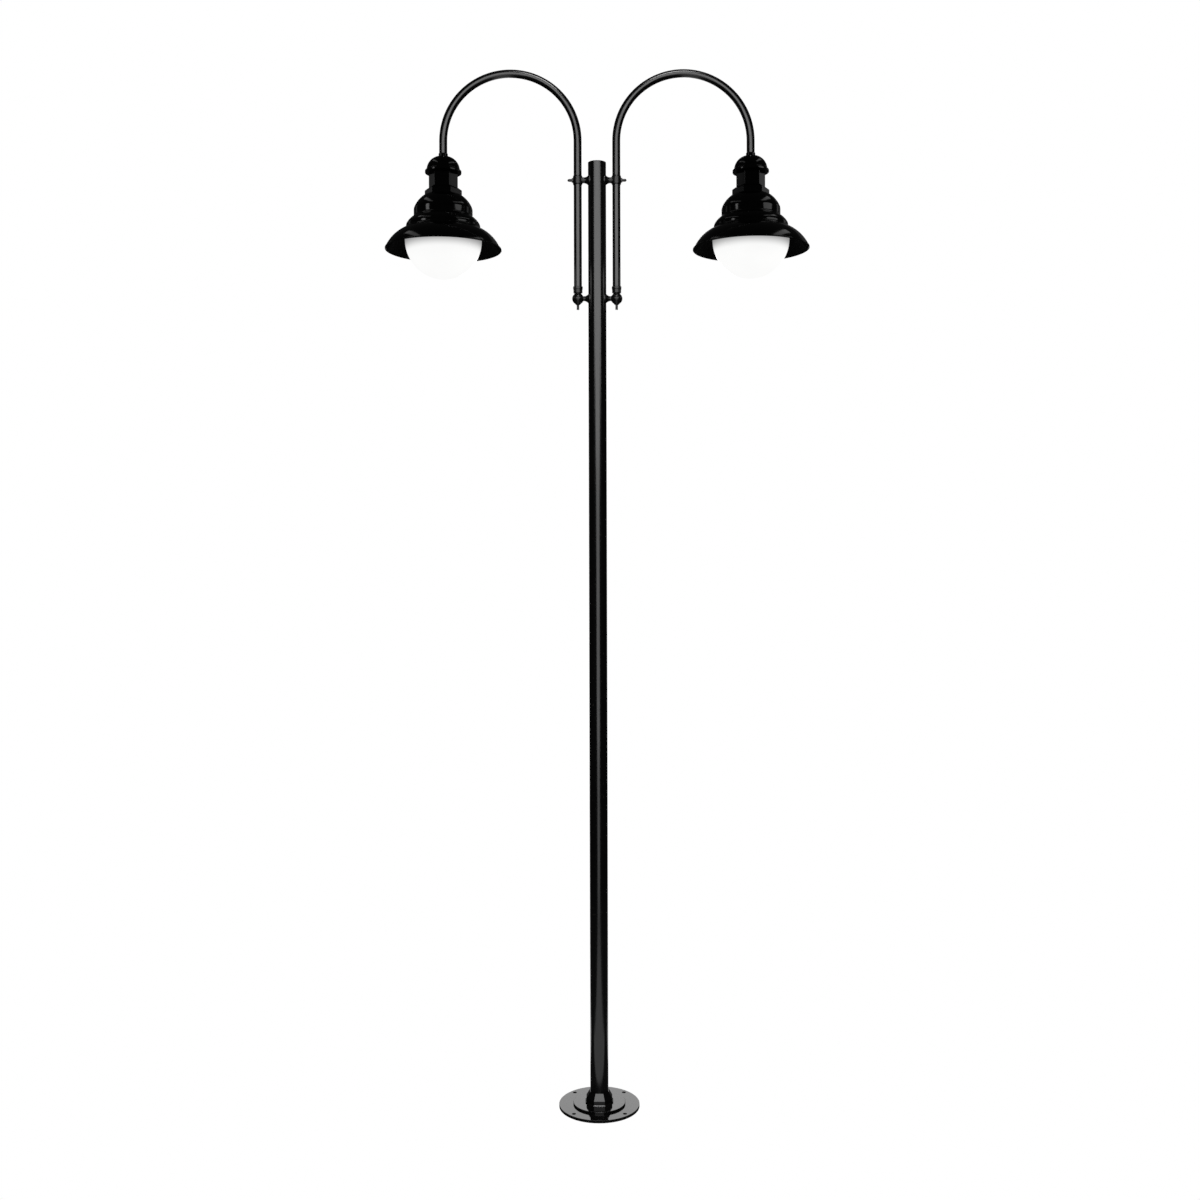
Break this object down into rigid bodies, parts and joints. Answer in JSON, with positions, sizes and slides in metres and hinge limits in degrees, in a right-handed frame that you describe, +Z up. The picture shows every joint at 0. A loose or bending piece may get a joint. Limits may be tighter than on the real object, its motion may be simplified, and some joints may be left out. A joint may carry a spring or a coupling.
{
  "type": "street lamp",
  "caption": "Two-armed street lamp: a round post on a bolted stepped base, with crook arms that swivel beside its top and bell shades over opal bowls that hinge down.",
  "frame": {"origin": "centre of the base plate's underside", "axes": "+Z up the post, X along the two arms, +Y to the side with the access door"},
  "size_m": [1.796, 0.492, 4.3948],
  "materials": {
    "black_gloss": "gloss black powder coat over galvanised steel",
    "black_cast": "semi-gloss black paint over cast metal",
    "opal": "smooth opal, diffusing",
    "white_enamel": "gloss white enamel",
    "stainless": "brushed stainless steel",
    "zinc": "dull zinc plate",
    "grey_case": "plain pressed case",
    "porcelain": "white glaze",
    "frosted_glass": "frosted white inside",
    "black_rubber": "matt",
    "dark_plastic": "moulded, fine texture",
    "cream_plastic": "moulded",
    "brass": "plain"
  },
  "bodies": {
    "post": {"base_plate": "black_gloss", "base_step": "black_gloss", "base_sleeve": "black_gloss", "post_tube": "black_gloss", "post_lid": "black_gloss", "door_bar": "zinc", "gear_rail": "zinc", "fuse_box": "dark_plastic", "fuse_carriers": "cream_plastic", "earth_stud": "brass", "left_upper_bracket": "black_cast", "left_clamp_bolt": "black_cast", "left_clamp_nut": "black_cast", "left_lower_bracket": "black_cast", "left_gland_nut": "black_cast", "left_finial_stud": "black_cast", "right_upper_bracket": "black_cast", "right_clamp_bolt": "black_cast", "right_clamp_nut": "black_cast", "right_lower_bracket": "black_cast", "right_gland_nut": "black_cast", "right_finial_stud": "black_cast"},
    "door": {"door_panel": "black_gloss"},
    "door_screw": {"door_screw": "stainless"},
    "left_arm": {"left_arm_tube": "black_gloss", "left_cap_nut": "black_gloss", "left_cap": "black_gloss", "left_lock_nut": "zinc", "left_neck": "black_gloss", "left_collar": "black_gloss", "left_shade": "black_gloss", "left_gear_plate": "zinc", "left_driver": "grey_case", "left_lamp_holder": "porcelain", "left_bulb": "frosted_glass", "left_reflector": "white_enamel", "left_gallery": "black_cast", "left_gasket": "black_rubber", "left_catch": "stainless", "left_hinge_pin": "stainless"},
    "left_bowl": {"left_bowl_ring": "black_gloss", "left_bowl": "opal"},
    "right_arm": {"right_arm_tube": "black_gloss", "right_cap_nut": "black_gloss", "right_cap": "black_gloss", "right_lock_nut": "zinc", "right_neck": "black_gloss", "right_collar": "black_gloss", "right_shade": "black_gloss", "right_gear_plate": "zinc", "right_driver": "grey_case", "right_lamp_holder": "porcelain", "right_bulb": "frosted_glass", "right_reflector": "white_enamel", "right_gallery": "black_cast", "right_gasket": "black_rubber", "right_catch": "stainless", "right_hinge_pin": "stainless"},
    "right_bowl": {"right_bowl_ring": "black_gloss", "right_bowl": "opal"}
  },
  "joints": [
    {"name": "door_lift_off", "type": "slide", "parent": "post", "child": "door", "axis": [0, 1, 0], "range_m": [0, 0.12]},
    {"name": "door_screw_turn", "type": "hinge", "parent": "door", "child": "door_screw", "pos_m": [0, 0.04, 0.76], "axis": [0, 1, 0], "continuous": true},
    {"name": "left_arm_swivel", "type": "hinge", "parent": "post", "child": "left_arm", "pos_m": [-0.082, 0, 3.45], "axis": [0, 0, 1], "range_deg": [-60, 60]},
    {"name": "left_bowl_hinge", "type": "hinge", "parent": "left_arm", "child": "left_bowl", "pos_m": [-0.652, 0.177, 3.687], "axis": [1, 0, 0], "range_deg": [0, 60]},
    {"name": "right_arm_swivel", "type": "hinge", "parent": "post", "child": "right_arm", "pos_m": [0.082, 0, 3.45], "axis": [0, 0, 1], "range_deg": [-60, 60]},
    {"name": "right_bowl_hinge", "type": "hinge", "parent": "right_arm", "child": "right_bowl", "pos_m": [0.652, 0.177, 3.687], "axis": [1, 0, 0], "range_deg": [0, 60]}
  ]
}
